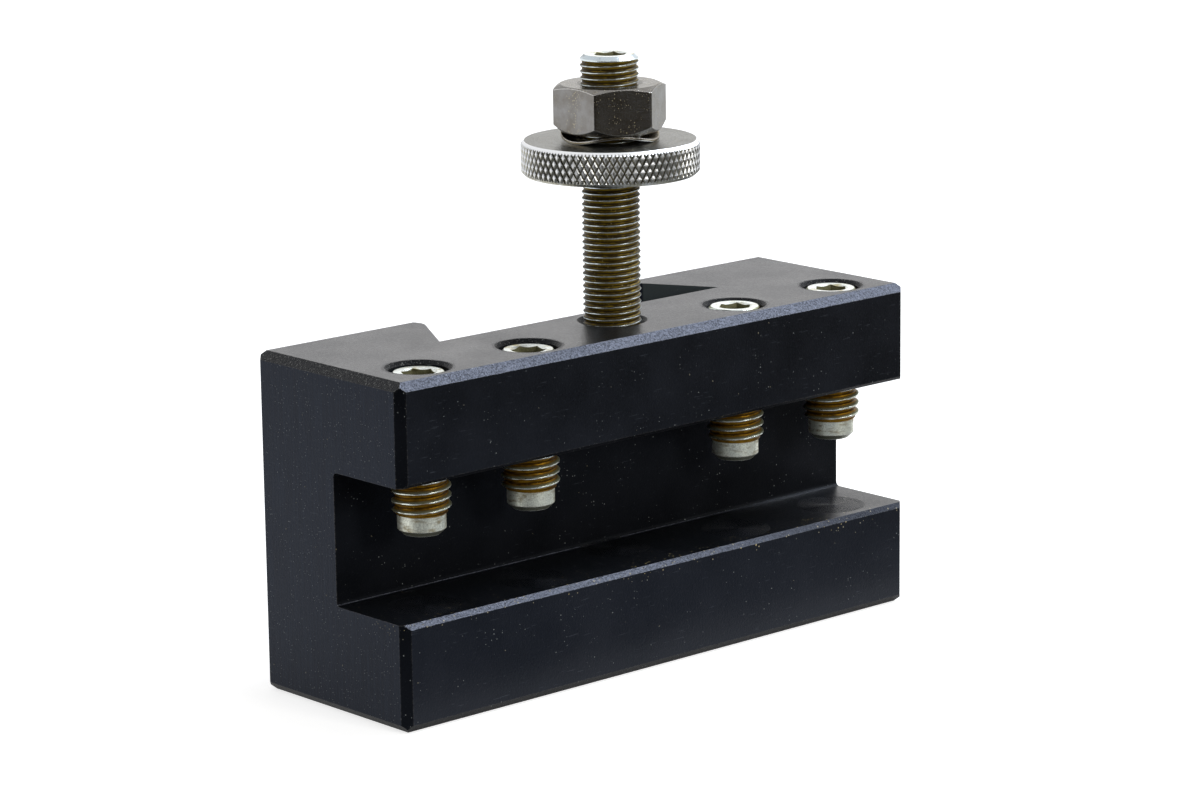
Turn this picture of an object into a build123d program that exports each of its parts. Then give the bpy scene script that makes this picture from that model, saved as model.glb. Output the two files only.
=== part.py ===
"""Quick-change turning tool holder: slotted body with a dovetail, four clamp screws,
and a height stud that carries a knurled height nut, a wave washer and a lock nut.

Millimetres. +Z is up. X = 0 is the middle of the length, Y = 0 is the floor of the
dovetail, Z = 0 is the underside. The tool slot opens towards -Y, the dovetail towards +Y.
"""

from build123d import *
from math import cos, pi, radians, sin, tan
import os

os.makedirs("parts", exist_ok=True)

# Body
BODY_LENGTH = 113.8
BODY_HEIGHT = 57.15
SLOT_DEPTH = 17.1  # front face to the wall behind the tool
WEB_THICKNESS = 3.4  # slot wall to dovetail floor
DOVETAIL_DEPTH = 16.3  # dovetail floor to back face
LOWER_JAW_THICKNESS = 17.95  # the upper jaw is what the slot leaves
SLOT_OPENING = 22.2
EDGE_CHAMFER = 1.4  # every outer edge of the block
LOWER_LIP_CHAMFER = 0.8  # slot floor to front face
UPPER_LIP_CHAMFER = 0.6  # slot ceiling to front face
SLOT_CORNER_RADIUS = 0.8

# Dovetail
DOVETAIL_FLOOR_WIDTH = 62.9
DOVETAIL_FLANK_ANGLE = 60.0  # flank to floor
DOVETAIL_LIP_RADIUS = 3.0

# Threads are drawn as plain cylinders over their crests
THREAD_FIT = 0.05  # radial clearance of a crest in its hole
SOCKET_DEPTH = 5.0
DRILL_POINT_ANGLE = 31.0  # end of a drilled hole, from flat
PAST_FACE = 1.0  # how far a cutter runs past the face it cuts

# Clamp screws
SCREW_DIAMETER = 9.75
SCREW_LENGTH = 26.4
SCREW_SOCKET = 5.0  # across flats
SCREW_TOP_CHAMFER = 0.6
SCREW_SETBACK = 7.95  # front face to screw axis
SCREW_END_MARGIN = 10.55  # end of the body to the outer screw
SCREW_PAIR_SPACING = 23.15  # outer screw to inner screw
SCREW_RECESSES = (0.7, 0.6, 0.2, 0.4)  # top of each screw under the top face
SCREW_SOCKET_TURNS = (8.0, 19.0, 38.0, 45.0)  # where a corner of each socket points
SCREW_COUNTERSINK = 0.6  # wider than the hole, per side
DOG_POINT_DIAMETER = 7.9
DOG_POINT_LENGTH = 3.3
DOG_POINT_CHAMFER = 0.9

# Height stud
STUD_DIAMETER = 9.75
STUD_STANDOUT = 44.75  # above the top face
STUD_ENGAGEMENT = 13.5  # screwed into the upper jaw
STUD_SETBACK = 7.3  # dovetail floor to stud axis
STUD_END_CHAMFER = 0.7
STUD_SOCKET = 5.0
STUD_COUNTERSINK = 1.0
STUD_HOLE_SPARE = 0.6  # hole deeper than the stud

# Height nut
HEIGHT_NUT_LIFT = 24.85  # top face of the body to the underside of the nut
HEIGHT_NUT_DIAMETER = 29.7
HEIGHT_NUT_THICKNESS = 5.7
HEIGHT_NUT_CHAMFER = 0.65
NUT_COUNTERSINK = 0.6

# Wave washer and lock nut
STACK_GAP = 0.04  # between faces that turn on each other
WASHER_OUTER_DIAMETER = 16.3
WASHER_BORE_CLEARANCE = 0.3  # radial, round the stud
WASHER_THICKNESS = 0.4
WASHER_HEIGHT = 1.45  # over the crests of the waves
WASHER_WAVES = 3
WASHER_TURN = -1.0  # where one crest points
LOCK_NUT_FLATS = 16.8
LOCK_NUT_HEIGHT = 7.8
LOCK_NUT_TURN = 32.7  # where one corner points
LOCK_NUT_CORNER_RADIUS = 0.5
LOCK_NUT_FACE_SHARE = 0.97  # round face against the flats
LOCK_NUT_TOP_ANGLE = 25.0  # slope of the turned corners
LOCK_NUT_BOTTOM_ANGLE = 42.0

# Where things lie
slot_ceiling = LOWER_JAW_THICKNESS + SLOT_OPENING
upper_jaw = BODY_HEIGHT - slot_ceiling
slot_wall_y = -WEB_THICKNESS
front_y = slot_wall_y - SLOT_DEPTH
back_y = DOVETAIL_DEPTH
screw_y = front_y + SCREW_SETBACK
outer_screw_x = BODY_LENGTH / 2 - SCREW_END_MARGIN
inner_screw_x = outer_screw_x - SCREW_PAIR_SPACING
screw_xs = (-outer_screw_x, -inner_screw_x, inner_screw_x, outer_screw_x)
stud_at = (0, -STUD_SETBACK)
height_nut_z = BODY_HEIGHT + HEIGHT_NUT_LIFT
washer_z = height_nut_z + HEIGHT_NUT_THICKNESS + STACK_GAP
lock_nut_z = washer_z + WASHER_HEIGHT + STACK_GAP


def corner_cut_rectangle(x0, x1, y0, y1, cut):
    """Rectangle with its four corners cut at 45 degrees."""
    return Polyline(
        (x0 + cut, y0),
        (x1 - cut, y0),
        (x1, y0 + cut),
        (x1, y1 - cut),
        (x1 - cut, y1),
        (x0 + cut, y1),
        (x0, y1 - cut),
        (x0, y0 + cut),
        close=True,
    )


def hexagon(across_flats, turn=0.0):
    return Rot(0, 0, turn) * RegularPolygon(
        across_flats / 2, side_count=6, major_radius=False
    )


def turned(points):
    """Solid of revolution about Z from (radius, height) points."""
    return revolve(make_face(Plane.XZ * Polyline(*points, close=True)), Axis.Z)


def clearance_hole(diameter, depth, countersink, point_down=False):
    """Cutter for a hole whose mouth is at Z = 0 and which runs down."""
    radius = diameter / 2
    points = [
        (0, PAST_FACE),
        (radius + countersink + PAST_FACE, PAST_FACE),
        (radius, -countersink),
        (radius, -depth),
    ]
    if point_down:
        points.append((0, -depth - radius * tan(radians(DRILL_POINT_ANGLE))))
    else:
        points.append((0, -depth))
    return turned(points)


def make_body():
    half = BODY_LENGTH / 2
    reach = max(BODY_LENGTH, BODY_HEIGHT, back_y - front_y)

    # Side view: the C of the two jaws, drawn in Y and Z and run along X
    side = make_face(
        Plane.YZ * corner_cut_rectangle(front_y, back_y, 0, BODY_HEIGHT, EDGE_CHAMFER)
    )
    slot = make_face(
        Plane.YZ
        * Polyline(
            (front_y - PAST_FACE, LOWER_JAW_THICKNESS - LOWER_LIP_CHAMFER - PAST_FACE),
            (front_y + LOWER_LIP_CHAMFER, LOWER_JAW_THICKNESS),
            (slot_wall_y, LOWER_JAW_THICKNESS),
            (slot_wall_y, slot_ceiling),
            (front_y + UPPER_LIP_CHAMFER, slot_ceiling),
            (front_y - PAST_FACE, slot_ceiling + UPPER_LIP_CHAMFER + PAST_FACE),
            close=True,
        )
    )
    inner = slot.vertices().group_by(Axis.Y)[-1]
    slot = fillet(inner, SLOT_CORNER_RADIUS)
    body = extrude(side - slot, reach, dir=(1, 0, 0), both=True)

    # Plan view: the ends and the dovetail, run along Z
    flank_run = DOVETAIL_DEPTH / tan(radians(DOVETAIL_FLANK_ANGLE))
    floor_half = DOVETAIL_FLOOR_WIDTH / 2
    plan = make_face(corner_cut_rectangle(-half, half, front_y, back_y, EDGE_CHAMFER))
    past_run = PAST_FACE / tan(radians(DOVETAIL_FLANK_ANGLE))
    plan -= make_face(
        Polyline(
            (-floor_half, 0),
            (floor_half, 0),
            (floor_half - flank_run - past_run, back_y + PAST_FACE),
            (-floor_half + flank_run + past_run, back_y + PAST_FACE),
            close=True,
        )
    )
    lips = [
        v
        for v in plan.vertices()
        if abs(v.Y - back_y) < 1e-6 and abs(v.X) < floor_half
    ]
    plan = fillet(lips, DOVETAIL_LIP_RADIUS)
    body &= extrude(plan, BODY_HEIGHT + PAST_FACE, both=True)

    # Front view: the ends meet the top and the underside
    front = make_face(
        Plane.XZ * corner_cut_rectangle(-half, half, 0, BODY_HEIGHT, EDGE_CHAMFER)
    )
    body &= extrude(front, reach, both=True)

    # Holes through and into the upper jaw
    screw_hole = clearance_hole(
        SCREW_DIAMETER + 2 * THREAD_FIT, upper_jaw + PAST_FACE, SCREW_COUNTERSINK
    )
    for x in screw_xs:
        body -= Pos(x, screw_y, BODY_HEIGHT) * screw_hole
    stud_hole = clearance_hole(
        STUD_DIAMETER + 2 * THREAD_FIT,
        STUD_ENGAGEMENT + STUD_HOLE_SPARE,
        STUD_COUNTERSINK,
        point_down=True,
    )
    body -= Pos(*stud_at, BODY_HEIGHT) * stud_hole
    return body


def make_clamp_screw(turn):
    """Socket set screw with a dog point, its top at Z = 0 and its point down."""
    radius = SCREW_DIAMETER / 2
    dog = DOG_POINT_DIAMETER / 2
    shoulder = -SCREW_LENGTH + DOG_POINT_LENGTH
    screw = turned(
        [
            (0, 0),
            (radius - SCREW_TOP_CHAMFER, 0),
            (radius, -SCREW_TOP_CHAMFER),
            (radius, shoulder + (radius - dog) / 2),
            (dog, shoulder),
            (dog, -SCREW_LENGTH + DOG_POINT_CHAMFER),
            (dog - DOG_POINT_CHAMFER, -SCREW_LENGTH),
            (0, -SCREW_LENGTH),
        ]
    )
    return screw - hex_socket(SCREW_SOCKET, turn)


def hex_socket(across_flats, turn=0.0):
    """Cutter for a broached socket with a drilled end, its mouth at Z = 0."""
    pocket = extrude(hexagon(across_flats, turn), -SOCKET_DEPTH)
    radius = across_flats / 2
    drilled = turned(
        [
            (0, -SOCKET_DEPTH),
            (radius, -SOCKET_DEPTH),
            (0, -SOCKET_DEPTH - radius * tan(radians(DRILL_POINT_ANGLE))),
        ]
    )
    lead = radius / cos(radians(30)) + 0.1
    mouth = turned([(0, 0), (lead, 0), (0, -lead * tan(radians(30)))])
    return pocket + drilled + mouth


def make_stud():
    radius = STUD_DIAMETER / 2
    top = STUD_STANDOUT
    bottom = -STUD_ENGAGEMENT
    stud = turned(
        [
            (0, bottom),
            (radius - STUD_END_CHAMFER, bottom),
            (radius, bottom + STUD_END_CHAMFER),
            (radius, top - STUD_END_CHAMFER),
            (radius - STUD_END_CHAMFER, top),
            (0, top),
        ]
    )
    return stud - Pos(0, 0, top) * hex_socket(STUD_SOCKET, LOCK_NUT_TURN)


def make_height_nut():
    """Round nut; its rim carries a diamond knurl."""
    outer = HEIGHT_NUT_DIAMETER / 2
    bore = STUD_DIAMETER / 2 + THREAD_FIT
    cut = HEIGHT_NUT_CHAMFER
    return turned(
        [
            (bore + NUT_COUNTERSINK, 0),
            (outer - cut, 0),
            (outer, cut),
            (outer, HEIGHT_NUT_THICKNESS - cut),
            (outer - cut, HEIGHT_NUT_THICKNESS),
            (bore + NUT_COUNTERSINK, HEIGHT_NUT_THICKNESS),
            (bore, HEIGHT_NUT_THICKNESS - NUT_COUNTERSINK),
            (bore, NUT_COUNTERSINK),
        ]
    )


def make_wave_washer():
    """Thin ring that rises and falls round its circle."""
    outer = WASHER_OUTER_DIAMETER / 2
    inner = STUD_DIAMETER / 2 + WASHER_BORE_CLEARANCE
    swing = (WASHER_HEIGHT - WASHER_THICKNESS) / 2

    def edge(radius, lift):
        """One wave from crest to crest, along one corner of the section."""
        steps = 12
        wave_angle = 2 * pi / WASHER_WAVES
        points = []
        for i in range(steps + 1):
            angle = wave_angle * i / steps
            rise = WASHER_HEIGHT / 2 + swing * cos(2 * pi * i / steps) + lift
            points.append((radius * cos(angle), radius * sin(angle), rise))
        tangents = [(0, 1, 0), (-sin(wave_angle), cos(wave_angle), 0)]
        return Edge.make_spline(points, tangents=tangents)

    half = WASHER_THICKNESS / 2
    corners = [edge(inner, -half), edge(outer, -half), edge(outer, half), edge(inner, half)]
    walls = [
        Face.make_surface_from_curves(one, other)
        for one, other in zip(corners, corners[1:] + corners[:1])
    ]
    ends = [Face(Wire.make_polygon([c @ end for c in corners])) for end in (0, 1)]
    wave = Solid(Shell(walls + ends))
    washer = wave
    for k in range(1, WASHER_WAVES):
        washer += Rot(0, 0, 360 * k / WASHER_WAVES) * wave
    return Rot(0, 0, WASHER_TURN) * washer


def make_lock_nut():
    """Hexagon nut, its corners turned off at both ends."""
    bore = STUD_DIAMETER / 2 + THREAD_FIT
    outline = hexagon(LOCK_NUT_FLATS, LOCK_NUT_TURN)
    outline = fillet(outline.vertices(), LOCK_NUT_CORNER_RADIUS)
    blank = extrude(outline, LOCK_NUT_HEIGHT)
    face = LOCK_NUT_FACE_SHARE * LOCK_NUT_FLATS / 2
    corner = LOCK_NUT_FLATS / 2 / cos(radians(30)) + 0.5
    top_drop = (corner - face) * tan(radians(LOCK_NUT_TOP_ANGLE))
    bottom_drop = (corner - face) * tan(radians(LOCK_NUT_BOTTOM_ANGLE))
    cone = turned(
        [
            (bore + NUT_COUNTERSINK, 0),
            (face, 0),
            (corner, bottom_drop),
            (corner, LOCK_NUT_HEIGHT - top_drop),
            (face, LOCK_NUT_HEIGHT),
            (bore + NUT_COUNTERSINK, LOCK_NUT_HEIGHT),
            (bore, LOCK_NUT_HEIGHT - NUT_COUNTERSINK),
            (bore, NUT_COUNTERSINK),
        ]
    )
    return blank & cone


parts = {
    "holder_body": make_body(),
    "height_stud": Pos(*stud_at, BODY_HEIGHT) * make_stud(),
    "height_nut": Pos(*stud_at, height_nut_z) * make_height_nut(),
    "wave_washer": Pos(*stud_at, washer_z) * make_wave_washer(),
    "lock_nut": Pos(*stud_at, lock_nut_z) * make_lock_nut(),
}
for i, (x, recess, turn) in enumerate(zip(screw_xs, SCREW_RECESSES, SCREW_SOCKET_TURNS)):
    place = Pos(x, screw_y, BODY_HEIGHT - recess)
    parts[f"clamp_screw_{i + 1}"] = place * make_clamp_screw(turn)

for name, shape in parts.items():
    export_step(shape, f"parts/{name}.step")
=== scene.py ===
# %% [markdown]
# # A turning tool holder for a lathe
# The block hangs on a tool post by its dovetail. Four set screws clamp the tool in
# the long slot, and a stud with a knurled nut, a wave washer and a hexagon nut sets
# the height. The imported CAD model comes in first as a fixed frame: every object
# below is in metres, in that same frame.

import math

import bmesh
import bpy
from mathutils import Matrix, Vector


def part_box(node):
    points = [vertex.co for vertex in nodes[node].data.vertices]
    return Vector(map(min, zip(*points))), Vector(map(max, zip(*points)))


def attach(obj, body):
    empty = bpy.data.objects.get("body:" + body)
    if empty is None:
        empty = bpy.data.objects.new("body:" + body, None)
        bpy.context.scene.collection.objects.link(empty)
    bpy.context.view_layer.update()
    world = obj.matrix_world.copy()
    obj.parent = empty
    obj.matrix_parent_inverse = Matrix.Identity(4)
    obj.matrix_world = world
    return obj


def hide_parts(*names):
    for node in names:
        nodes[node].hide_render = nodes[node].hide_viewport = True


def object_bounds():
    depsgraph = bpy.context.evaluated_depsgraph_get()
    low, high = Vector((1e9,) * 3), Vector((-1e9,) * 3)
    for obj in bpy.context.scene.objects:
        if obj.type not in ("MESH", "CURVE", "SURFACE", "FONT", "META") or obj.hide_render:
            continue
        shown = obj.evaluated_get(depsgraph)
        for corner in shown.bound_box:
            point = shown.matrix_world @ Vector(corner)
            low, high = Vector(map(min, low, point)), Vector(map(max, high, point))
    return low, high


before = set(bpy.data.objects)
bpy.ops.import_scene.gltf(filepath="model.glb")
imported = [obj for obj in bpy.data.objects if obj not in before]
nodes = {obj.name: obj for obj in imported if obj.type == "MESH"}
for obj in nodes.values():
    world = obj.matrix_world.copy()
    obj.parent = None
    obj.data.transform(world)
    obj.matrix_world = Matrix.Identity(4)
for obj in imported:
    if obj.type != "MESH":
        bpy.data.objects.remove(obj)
cad_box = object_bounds()
scene = bpy.context.scene
scene.view_settings.view_transform = "Standard"
MM = 0.001
print("CAD box in mm:", [[round(c / MM, 2) for c in corner] for corner in cad_box])

# %% [markdown]
# ## Camera
# A long lens, about 125 mm, stands a little above the block and left of its front.
# It is placed by its position and by the two directions that are right and up in the
# picture. The third axis of its matrix is what is left over, pointing back.

# %% The camera
FOCAL_LENGTH, SENSOR_WIDTH = 125.467, 36.0  # in mm
CAMERA_AT = (-0.457971, -0.514180, 0.199586)
RIGHT_IN_PICTURE = Vector((0.742207, -0.670054, -0.012495))
UP_IN_PICTURE = Vector((0.158373, 0.157250, 0.974777))
lens = bpy.data.cameras.new("camera")
lens.lens = FOCAL_LENGTH
lens.sensor_width = SENSOR_WIDTH
lens.clip_start = 0.05
camera = bpy.data.objects.new("camera", lens)
scene.collection.objects.link(camera)
right = RIGHT_IN_PICTURE.normalized()
back = right.cross(UP_IN_PICTURE).normalized()
turn = Matrix((right, back.cross(right), back)).transposed().to_4x4()
camera.matrix_world = Matrix.Translation(CAMERA_AT) @ turn
scene.camera = camera
print("camera height in mm:", round(camera.matrix_world.translation.z / MM, 1))

# %% [markdown]
# ## Small helpers for node trees
# A material and a Geometry Nodes tree are built the same way: add a node, fill its
# inputs with numbers or with the outputs of other nodes, and take one output on to
# the next node. One helper does that for every kind of node, and the others shorten
# the sums, the masks and the colour mixes.


# %% Node helpers
def add(tree, kind, inputs=None, out=0, **settings):
    """Adds a node; inputs holds a value or another node's output for each socket."""
    made = tree.nodes.new(kind)
    for name, value in settings.items():
        setattr(made, name, value)
    for key, value in (inputs or {}).items():
        if isinstance(value, bpy.types.NodeSocket):
            tree.links.new(value, made.inputs[key])
        else:
            made.inputs[key].default_value = value
    return made.outputs[out]


def calc(tree, operation, a, b=None, c=None):
    inputs = {i: v for i, v in enumerate((a, b, c)) if v is not None}
    return add(tree, "ShaderNodeMath", inputs, operation=operation)


def times(tree, first, *others):
    """Masks or values multiplied together."""
    for other in others:
        first = calc(tree, "MULTIPLY", first, other)
    return first


def inverse(tree, mask):
    return calc(tree, "SUBTRACT", 1.0, mask)


def parts(tree, vector):
    """The X, Y and Z outputs of a vector."""
    return add(tree, "ShaderNodeSeparateXYZ", {0: vector}, "X").node.outputs


def blend_colour(tree, share, a, b):
    inputs = {"Factor": share, 6: a, 7: b}
    return add(tree, "ShaderNodeMix", inputs, 2, data_type="RGBA")


def spread(tree, value, low, high, to_low=0.0, to_high=1.0):
    """Maps value from low..high to to_low..to_high, and holds it at the ends."""
    inputs = {"Value": value, 1: low, 2: high, 3: to_low, 4: to_high}
    return add(tree, "ShaderNodeMapRange", inputs)


def between(tree, value, low, high, soft):
    """A mask that is 1 from low to high, with edges that spread by soft."""
    return times(
        tree,
        spread(tree, value, low - soft, low + soft),
        spread(tree, value, high + soft, high - soft),
    )


def grain(tree, vector, scale, detail=2.0, roughness=0.5):
    inputs = {
        "Vector": vector,
        "Scale": scale,
        "Detail": detail,
        "Roughness": roughness,
    }
    return add(tree, "ShaderNodeTexNoise", inputs)


def stretched(tree, vector, scale, angles=(0, 0, 0)):
    inputs = {
        "Vector": vector,
        "Scale": scale,
        "Rotation": [math.radians(a) for a in angles],
    }
    return add(tree, "ShaderNodeMapping", inputs)


# %% [markdown]
# ## Shared effects
# Several finishes need the same things: dust and small flecks, rings from turning,
# and a mask along edges, for rubbed wear and stains there and for painted edge
# highlights. Each is a shader node group with named sockets, built once. A group
# only hands out masks and values; each material keeps its own shader.


# %% A new node group
def new_group(name, inputs, outputs):
    tree = bpy.data.node_groups.new(name, "ShaderNodeTree")
    for socket, value in inputs.items():
        kind = "NodeSocketVector" if value is None else "NodeSocketFloat"
        made = tree.interface.new_socket(socket, in_out="INPUT", socket_type=kind)
        if value is not None:
            made.default_value = value
    for socket in outputs:
        tree.interface.new_socket(
            socket, in_out="OUTPUT", socket_type="NodeSocketFloat"
        )
    start = tree.nodes.new("NodeGroupInput").outputs
    end = tree.nodes.new("NodeGroupOutput").inputs
    return tree, start, end


def use_group(tree, group, inputs):
    made = tree.nodes.new("ShaderNodeGroup")
    made.node_tree = group
    for key, value in inputs.items():
        if isinstance(value, bpy.types.NodeSocket):
            tree.links.new(value, made.inputs[key])
        else:
            made.inputs[key].default_value = value
    return made.outputs


# %% [markdown]
# Dust settles as separate specks. A Voronoi texture gives each cell one point and a
# random colour, so a speck is the small ball round that point, larger or smaller by
# the cell's own colour, with its outline broken up by a little noise.

# %% Specks
specks, given, result = new_group(
    "specks", {"Place": None, "Cell": 1.2, "Radius": 0.1, "Share": 0.5}, ["Mask"]
)
place = add(
    specks,
    "ShaderNodeVectorMath",
    {0: given["Place"], "Scale": calc(specks, "DIVIDE", 1.0, given["Cell"])},
    operation="SCALE",
)
warp = add(
    specks,
    "ShaderNodeTexNoise",
    {"Vector": place, "Scale": 6.0, "Detail": 1.0},
    "Color",
)
warp = add(
    specks,
    "ShaderNodeVectorMath",
    {0: warp, 1: (0.14, 0.14, 0.14), 2: place},
    operation="MULTIPLY_ADD",
)
cell = specks.nodes.new("ShaderNodeTexVoronoi")
cell.inputs["Scale"].default_value = 1.0
specks.links.new(warp, cell.inputs["Vector"])
chance = add(specks, "ShaderNodeSeparateColor", {0: cell.outputs["Color"]}, "Red")
size = calc(
    specks,
    "MULTIPLY",
    calc(specks, "DIVIDE", given["Radius"], given["Cell"]),
    calc(specks, "SUBTRACT", 1.6, calc(specks, "DIVIDE", chance, given["Share"])),
)
inside = spread(
    specks,
    calc(specks, "SUBTRACT", size, cell.outputs["Distance"]),
    0.0,
    0.02,
)
filled = calc(specks, "LESS_THAN", chance, given["Share"])
specks.links.new(times(specks, inside, filled), result["Mask"])


def strewn_specks(tree, place, cell, radius, share=0.5):
    """A mask of specks: sizes in millimetres, and the share of cells that hold one."""
    inputs = {"Place": place, "Cell": cell, "Radius": radius, "Share": share}
    return use_group(tree, specks, inputs)["Mask"]


# %% [markdown]
# A turned face carries fine rings round its axis. The distance from the axis feeds a
# noise in one dimension, which makes rings that are not all alike. Walls that stand
# along the axis have none.

# %% Turned rings
rings, given, result = new_group(
    "turned_rings",
    {"Place": None, "Axis": None, "Rings a mm": 4.0},
    ["Height", "Radius"],
)
offset = add(
    rings,
    "ShaderNodeVectorMath",
    {0: given["Place"], 1: given["Axis"]},
    operation="SUBTRACT",
)
flat = add(
    rings,
    "ShaderNodeVectorMath",
    {0: offset, 1: (1.0, 1.0, 0.0)},
    operation="MULTIPLY",
)
radius = add(rings, "ShaderNodeVectorMath", {0: flat}, "Value", operation="LENGTH")
ring = add(
    rings,
    "ShaderNodeTexNoise",
    {"W": times(rings, radius, given["Rings a mm"]), "Detail": 2.0},
    noise_dimensions="1D",
)
facing = parts(rings, add(rings, "ShaderNodeNewGeometry", out="Normal"))["Z"]
facing = spread(rings, calc(rings, "ABSOLUTE", facing), 0.3, 0.6)
rings.links.new(times(rings, ring, facing), result["Height"])
rings.links.new(radius, result["Radius"])

# %% [markdown]
# Edges are found by a Bevel node: near an edge its rounded normal leans away from the
# face's own normal, and how far it leans is the mask.

# %% Edges, for wear, stains and painted highlights
edges, given, result = new_group("edge_mask", {"Width": 0.0003}, ["Mask"])
rounded = add(edges, "ShaderNodeBevel", {"Radius": given["Width"]}, samples=6)
own = add(edges, "ShaderNodeNewGeometry", out="Normal")
lean = add(
    edges,
    "ShaderNodeVectorMath",
    {0: rounded, 1: own},
    "Value",
    operation="DOT_PRODUCT",
)
edges.links.new(spread(edges, lean, 0.99, 0.8), result["Mask"])


# %% A new material
def surface_normal(tree):
    """The parts of the surface's normal, in the object's own frame."""
    return parts(tree, add(tree, "ShaderNodeTexCoord", out="Normal"))


def new_material(name, fixed):
    """A material, its tree, its shader and the object's coordinates in millimetres."""
    material = bpy.data.materials.new(name)
    material.use_nodes = True
    tree = material.node_tree
    shader = tree.nodes["Principled BSDF"]
    for socket, value in fixed.items():
        shader.inputs[socket].default_value = value
    at = add(tree, "ShaderNodeTexCoord", out="Object")
    place = add(
        tree, "ShaderNodeVectorMath", {0: at, "Scale": 1 / MM}, operation="SCALE"
    )
    return material, tree, shader, place


def drive(tree, shader, **sockets):
    for name, value in sockets.items():
        tree.links.new(value, shader.inputs[name.replace("_", " ")])


def bumps(tree, height, distance, strength=1.0, normal=None):
    inputs = {"Height": height, "Distance": distance, "Strength": strength}
    if normal is not None:
        inputs["Normal"] = normal
    return add(tree, "ShaderNodeBump", inputs)


# %% [markdown]
# ## Blackened steel
# The block is milled steel with a thin black oxide. The oxide reflects little from
# straight on and a lot at a shallow angle, so the shader has a low index of
# refraction and a bluish tint. Milling leaves fine upright lines: a noise that is
# stretched along Z shows as lines on the sides and as plain grain on the top.
# The chamfers that face the front and up are pale, partly worn bare and partly a
# painted highlight, and the cuts that face up carry painted glints. The other cuts,
# the slot and what looks down get painted shade, as a dark and weak reflection.
# Dust, brass flecks, chips and hair scratches lie on it, and the countersinks still
# show the rings of their tool.

# %% Black oxide
black, tree, shader, place = new_material("blackened_steel", {"IOR": 1.39})

# %% Rings in the countersinks
COUNTERSINK_RADIUS = 5.9
screw_boxes = [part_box(f"clamp_screw_{i}") for i in (1, 2, 3, 4)]
screw_axes = [((lo + hi) / 2 / MM) for lo, hi in screw_boxes]
stud_axis = sum(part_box("height_stud"), Vector()) / 2 / MM
holes = ring_height = 0.0
for axis in [*screw_axes, stud_axis]:
    turned = use_group(
        tree, rings, {"Place": place, "Axis": tuple(axis), "Rings a mm": 5.0}
    )
    near = calc(tree, "LESS_THAN", turned["Radius"], COUNTERSINK_RADIUS)
    holes = calc(tree, "ADD", holes, near)
    ring_height = calc(tree, "MULTIPLY_ADD", turned["Height"], near, ring_height)
print("screw axes in mm:", [tuple(round(c, 2) for c in a) for a in screw_axes])

# %% Where the oxide is worn pale and highlit, and where shade is painted
FRONT = -20.5  # the front face along Y, and the slot along Z, in mm
SLOT_FLOOR, SLOT_CEILING = 17.95, 40.15
cloud = grain(tree, place, 0.09, 4.0)
lines = grain(tree, stretched(tree, place, (3.2, 3.2, 0.07)), 1.0, 3.0, 0.6)
fine = grain(tree, place, 2.6, 3.0, 0.75)
at = parts(tree, place)
facing = surface_normal(tree)
square = {axis: calc(tree, "ABSOLUTE", facing[axis]) for axis in "XYZ"}
squarest = calc(tree, "MAXIMUM", square["X"], square["Y"])
squarest = calc(tree, "MAXIMUM", squarest, square["Z"])
on_end = spread(tree, square["X"], 0.9, 0.95)
cut = spread(tree, squarest, 0.80, 0.76)
flank = between(tree, square["X"], 0.835, 0.905, 0.015)
# Chamfers that face the front and up: partly worn bare, partly a painted highlight.
bare_and_highlit = times(
    tree,
    spread(tree, facing["Y"], -0.6, -0.68),
    spread(tree, facing["Z"], 0.6, 0.68),
    calc(tree, "LESS_THAN", holes, 0.5),
)
# The inside of the slot, where shade is painted into the reflection.
in_slot = times(
    tree,
    between(tree, at["Z"], SLOT_FLOOR, SLOT_CEILING, 0.25),
    spread(tree, at["Y"], FRONT + 0.2, FRONT + 2.5),
    spread(tree, at["Y"], 2.0, 0.0),
    inverse(tree, on_end),
)
upward = spread(tree, facing["Z"], 0.3, 0.5)
downward = spread(tree, facing["Z"], -0.3, -0.5)
# Painted shade: the cuts that don't face the front and up, the slot and what looks down.
dark_cut = times(tree, cut, inverse(tree, bare_and_highlit))
painted_shade = calc(tree, "MAXIMUM", in_slot, downward)
painted_shade = calc(tree, "MAXIMUM", painted_shade, dark_cut)

# %% The oxide's colour
oxide = blend_colour(
    tree,
    spread(tree, cloud, 0.35, 0.65),
    (0.0032, 0.0036, 0.0046, 1),
    (0.0056, 0.0062, 0.0080, 1),
)
streak = times(
    tree,
    spread(tree, lines, 0.44, 0.62),
    spread(tree, on_end, 0.0, 1.0, 0.02, 0.55),
)
oxide = blend_colour(tree, streak, oxide, (0.013, 0.018, 0.027, 1))
# The pale chamfers, partly wear and partly a painted highlight, are weaker low down
# towards the right.
less_pale = times(
    tree, spread(tree, at["Z"], 30.0, 25.0), spread(tree, at["X"], -10.0, 45.0)
)
worn_and_highlit = times(
    tree,
    bare_and_highlit,
    spread(tree, fine, 0.36, 0.62, 0.2, 1.0),
    spread(tree, less_pale, 0.0, 1.0, 1.0, 0.15),
)
oxide = blend_colour(tree, worn_and_highlit, oxide, (0.13, 0.14, 0.175, 1))
oxide = blend_colour(tree, flank, oxide, (0.055, 0.066, 0.070, 1))
# Pale along the edges: partly rubbed wear, partly a painted highlight.
edge_rub_and_highlight = use_group(tree, edges, {"Width": 0.35 * MM})["Mask"]
edge_rub_and_highlight = times(tree, edge_rub_and_highlight, spread(tree, fine, 0.42, 0.62), 0.55)
oxide = blend_colour(tree, edge_rub_and_highlight, oxide, (0.16, 0.15, 0.14, 1))

# %% Hair scratches
hairs = []
for long_way, angles in (((0.35, 5, 5), (0, 6, 0)), ((5, 0.35, 5), (10, 0, 0))):
    field = stretched(tree, place, long_way, angles)
    hairs.append(spread(tree, grain(tree, field, 1.0, 1.0), 0.73, 0.77))
scratch = times(tree, calc(tree, "MAXIMUM", *hairs), 0.20)
oxide = blend_colour(tree, scratch, oxide, (0.10, 0.11, 0.13, 1))
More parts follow.
